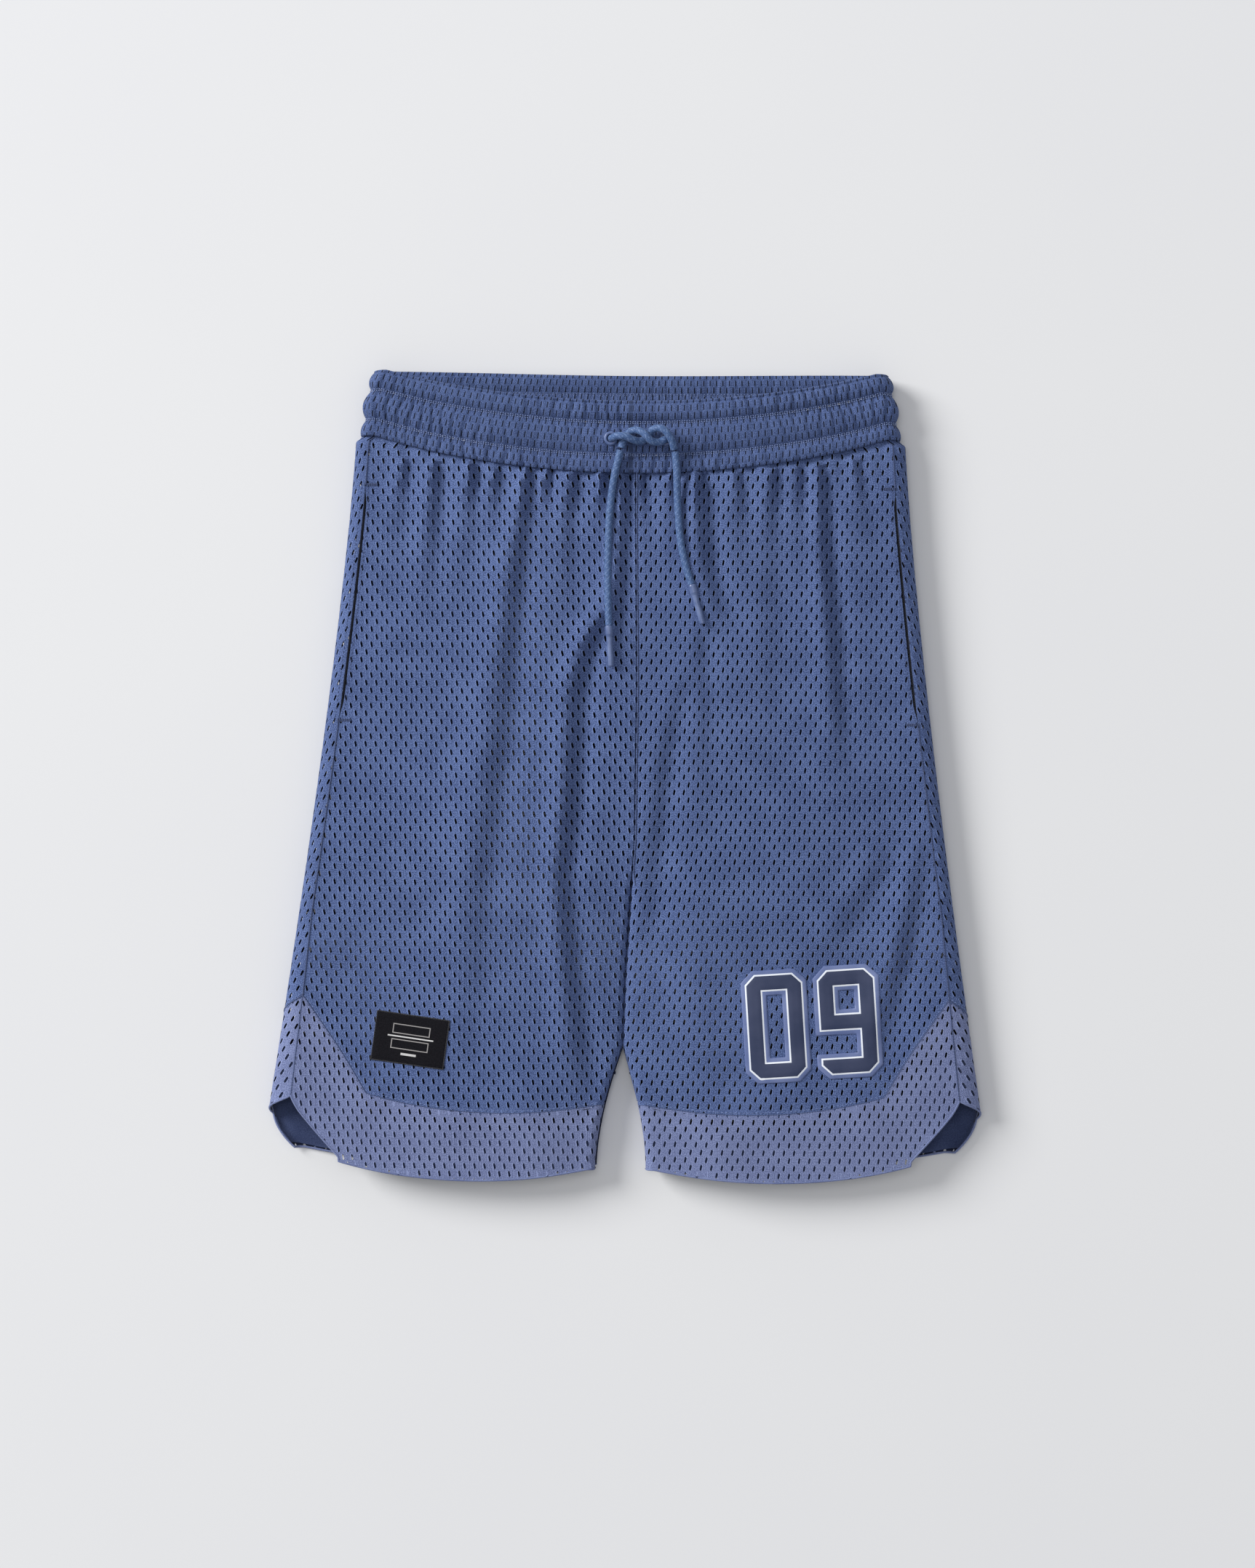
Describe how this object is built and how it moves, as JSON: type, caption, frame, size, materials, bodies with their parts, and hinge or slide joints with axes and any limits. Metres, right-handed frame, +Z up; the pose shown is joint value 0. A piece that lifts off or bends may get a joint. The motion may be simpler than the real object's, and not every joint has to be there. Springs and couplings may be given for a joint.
{
  "type": "mesh basketball shorts",
  "caption": "Mesh basketball shorts laid flat: elastic drawcord waist, two side pockets, notched hem bands and block numerals.",
  "frame": {"origin": "on the surface that the shorts lie on, under the middle of their outline", "axes": "+Z up out of the front, +Y towards the waist, +X towards the side with the numerals, which is the wearer's left"},
  "size_m": [0.466, 0.5294, 0.0367],
  "materials": {
    "mesh_cloth": "knitted mesh with slit holes, matt",
    "band_cloth": "knitted mesh, paler, matt",
    "waist_cloth": "gathered knit, matt",
    "facing_cloth": "plain knit, matt",
    "elastic": "woven elastic",
    "cord": "braided polyester, slight sheen",
    "cord_tip": "dipped, satin",
    "eyelet_metal": "enamelled, satin",
    "washer_metal": "plain",
    "thread": "polyester thread",
    "patch": "woven",
    "print_border": "flexible print, satin",
    "print_outline": "flexible print, satin",
    "print_face": "flexible print, satin"
  },
  "bodies": {
    "shorts": {"front_panel_left": "mesh_cloth", "front_panel_right": "mesh_cloth", "back_panel_left": "mesh_cloth", "back_panel_right": "mesh_cloth", "hem_band_front_left": "band_cloth", "hem_band_front_right": "band_cloth", "hem_band_back_left": "band_cloth", "hem_band_back_right": "band_cloth", "hem_facing_front_left": "facing_cloth", "hem_facing_front_right": "facing_cloth", "hem_facing_back_left": "facing_cloth", "hem_facing_back_right": "facing_cloth", "waistband_front": "waist_cloth", "waistband_back": "waist_cloth", "waist_elastic": "elastic", "pocket_bag_back_left": "facing_cloth", "pocket_bag_back_right": "facing_cloth", "pocket_bag_front_left": "facing_cloth", "pocket_bag_front_right": "facing_cloth", "pocket_bag_edge_left": "facing_cloth", "pocket_bag_edge_right": "facing_cloth", "pocket_bartacks": "thread", "eyelet_left": "eyelet_metal", "eyelet_right": "eyelet_metal", "eyelet_washers": "washer_metal", "drawcord_run": "cord", "drawcord_knot": "cord", "woven_patch": "patch", "numeral_a_border": "print_border", "numeral_a_outline": "print_outline", "numeral_a_face": "print_face", "numeral_b_border": "print_border", "numeral_b_outline": "print_outline", "numeral_b_face": "print_face"},
    "cord_end_left": {"drawcord_tail_left": "cord", "aglet_left": "cord_tip"},
    "cord_end_right": {"drawcord_tail_right": "cord", "aglet_right": "cord_tip"}
  },
  "joints": [
    {"name": "cord_end_left_swing", "type": "hinge", "parent": "shorts", "child": "cord_end_left", "pos_m": [-0.0067, 0.2128, 0.029], "axis": [0, 0, 1], "range_deg": [-25, 8]},
    {"name": "cord_end_right_swing", "type": "hinge", "parent": "shorts", "child": "cord_end_right", "pos_m": [0.0286, 0.2122, 0.029], "axis": [0, 0, 1], "range_deg": [-8, 25]}
  ]
}
